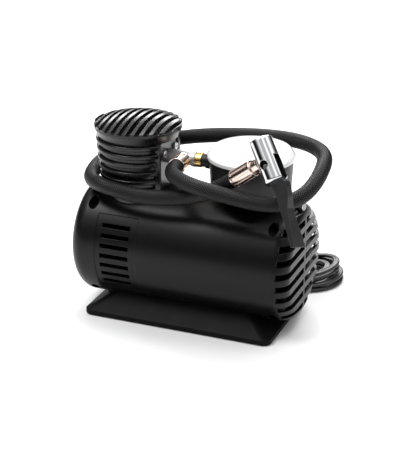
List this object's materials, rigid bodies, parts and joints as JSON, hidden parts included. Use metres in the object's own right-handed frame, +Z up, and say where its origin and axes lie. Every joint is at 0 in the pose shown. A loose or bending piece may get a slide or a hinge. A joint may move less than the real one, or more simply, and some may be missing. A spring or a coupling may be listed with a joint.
{
  "type": "air compressor",
  "caption": "Small 12 V air compressor: ribbed drum housing on a flared base, finned pump head, round gauge, braided hose with lever chuck, coiled power cord and plug",
  "frame": {"origin": "on the floor under the middle of the base", "axes": "+X along the motor towards the louvred end, +Z up, the hose chuck hangs on the -Y front side"},
  "size_m": [0.1866, 0.1791, 0.1521],
  "materials": {
    "housing_front": "fine satin moulded ABS",
    "housing_rear": "fine satin moulded ABS",
    "housing_screws": "black-zinc screw",
    "base_plate": "fine satin moulded ABS",
    "rubber_feet": "soft",
    "base_screws": "zinc screw",
    "head_shroud": "semi-gloss moulded ABS",
    "louvre_cap": "semi-gloss moulded ABS",
    "shroud_screws": "bright zinc",
    "crankcase": "zinc-plated bracket",
    "crank_bearings": "ground",
    "crank_gear": "moulded nylon",
    "crank_shaft": "ground",
    "counterweight": "sintered",
    "pinion": "cut teeth",
    "motor_can": "zinc plated",
    "motor_end_cap": "moulded",
    "motor_magnets": "ferrite",
    "motor_bushes": "sintered bronze",
    "motor_shaft": "ground",
    "armature": "laminations and enamelled copper",
    "commutator": "copper bars",
    "motor_brushes": "carbon",
    "piston": "turned",
    "piston_seal": "smooth",
    "wrist_pin": "ground",
    "connecting_rod": "die cast",
    "big_end_bearing": "sintered bronze",
    "cylinder": "cast and bored",
    "head_gasket": "fibre gasket",
    "cylinder_head": "die cast",
    "head_screws": "bright zinc",
    "delivery_valve": "lapped disc",
    "valve_spring": "wire",
    "outlet_manifold": "grey zinc casting",
    "brass_nipple": "turned",
    "gauge_stem": "black collar",
    "hose_crimp": "warm nickel",
    "gauge_case": "black can",
    "gauge_dial": "printed white card",
    "bourdon_tube": "drawn",
    "gauge_lens": "clear acrylic",
    "gauge_bezel": "pearl acrylic rim",
    "gauge_needle": "black",
    "chuck_barrel": "mirror chrome",
    "chuck_seal": "smooth",
    "chuck_lever": "glass-filled nylon",
    "lever_pin": "ground",
    "chuck_neck": "warm nickel",
    "chuck_ferrule": "warm nickel",
    "air_hose": "braided cover",
    "cord_hank": "twin-lead PVC coil",
    "cord_tie": "black tie",
    "cord_gland": "moulded strain relief",
    "power_cord": "twin-lead PVC",
    "plug_body": "moulded ABS",
    "plug_ring": "threaded ring",
    "plug_tip": "nickel contact",
    "plug_contacts": "spring leaf",
    "plug_lead": "twin-lead PVC"
  },
  "bodies": {
    "body": {"housing_front": "housing_front", "housing_rear": "housing_rear", "housing_screws": "housing_screws", "base_plate": "base_plate", "rubber_feet": "rubber_feet", "base_screws": "base_screws", "head_shroud": "head_shroud", "louvre_cap": "louvre_cap", "shroud_screws": "shroud_screws", "crankcase": "crankcase", "crank_bearings": "crank_bearings", "motor_can": "motor_can", "motor_end_cap": "motor_end_cap", "motor_magnets": "motor_magnets", "motor_bushes": "motor_bushes", "motor_brushes": "motor_brushes", "cylinder": "cylinder", "head_gasket": "head_gasket", "cylinder_head": "cylinder_head", "head_screws": "head_screws", "valve_spring": "valve_spring", "outlet_manifold": "outlet_manifold", "brass_nipple": "brass_nipple", "gauge_stem": "gauge_stem", "hose_crimp": "hose_crimp", "gauge_case": "gauge_case", "gauge_dial": "gauge_dial", "bourdon_tube": "bourdon_tube", "gauge_lens": "gauge_lens", "gauge_bezel": "gauge_bezel", "chuck_barrel": "chuck_barrel", "chuck_seal": "chuck_seal", "lever_pin": "lever_pin", "chuck_neck": "chuck_neck", "chuck_ferrule": "chuck_ferrule", "air_hose": "air_hose", "cord_hank": "cord_hank", "cord_tie": "cord_tie", "cord_gland": "cord_gland", "power_cord": "power_cord", "plug_body": "plug_body", "plug_ring": "plug_ring", "plug_contacts": "plug_contacts", "plug_lead": "plug_lead"},
    "crank": {"crank_gear": "crank_gear", "crank_shaft": "crank_shaft", "counterweight": "counterweight"},
    "motor_rotor": {"motor_shaft": "motor_shaft", "armature": "armature", "commutator": "commutator", "pinion": "pinion"},
    "piston": {"piston": "piston", "piston_seal": "piston_seal", "wrist_pin": "wrist_pin"},
    "conrod": {"connecting_rod": "connecting_rod", "big_end_bearing": "big_end_bearing"},
    "needle": {"gauge_needle": "gauge_needle"},
    "lever": {"chuck_lever": "chuck_lever"},
    "valve": {"delivery_valve": "delivery_valve"},
    "plug_tip_body": {"plug_tip": "plug_tip"}
  },
  "joints": [
    {"name": "crank_spin", "type": "hinge", "parent": "body", "child": "crank", "pos_m": [-0.03, 0, 0.058], "axis": [1, 0, 0], "continuous": true},
    {"name": "motor_spin", "type": "hinge", "parent": "body", "child": "motor_rotor", "pos_m": [0, 0, 0.0316], "axis": [1, 0, 0], "continuous": true},
    {"name": "piston_travel", "type": "slide", "parent": "body", "child": "piston", "axis": [0, 0, 1], "range_m": [0, 0.014]},
    {"name": "conrod_swing", "type": "hinge", "parent": "piston", "child": "conrod", "pos_m": [-0.044, 0, 0.093], "axis": [1, 0, 0], "range_deg": [-9.6, 9.6]},
    {"name": "needle_sweep", "type": "hinge", "parent": "body", "child": "needle", "pos_m": [0.0413, 0, 0.1236], "axis": [0, 0, -1], "range_deg": [0, 270], "stiffness_Nm_per_rad": 0.0002},
    {"name": "lever_flip", "type": "hinge", "parent": "body", "child": "lever", "pos_m": [0.06967, -0.04138, 0.13261], "axis": [-0.2877, -0.9063, 0.3096], "range_deg": [0, 90]},
    {"name": "valve_lift", "type": "slide", "parent": "body", "child": "valve", "axis": [0, 0, 1], "range_m": [0, 0.0012], "stiffness_N_per_m": 300, "deforming": ["valve_spring"]},
    {"name": "tip_press", "type": "slide", "parent": "body", "child": "plug_tip_body", "axis": [-1, 0, 0], "range_m": [0, 0.003], "stiffness_N_per_m": 1200}
  ],
  "couplings": [
    {"joint": "crank_spin", "follows": "motor_spin", "ratio": -0.2}
  ]
}
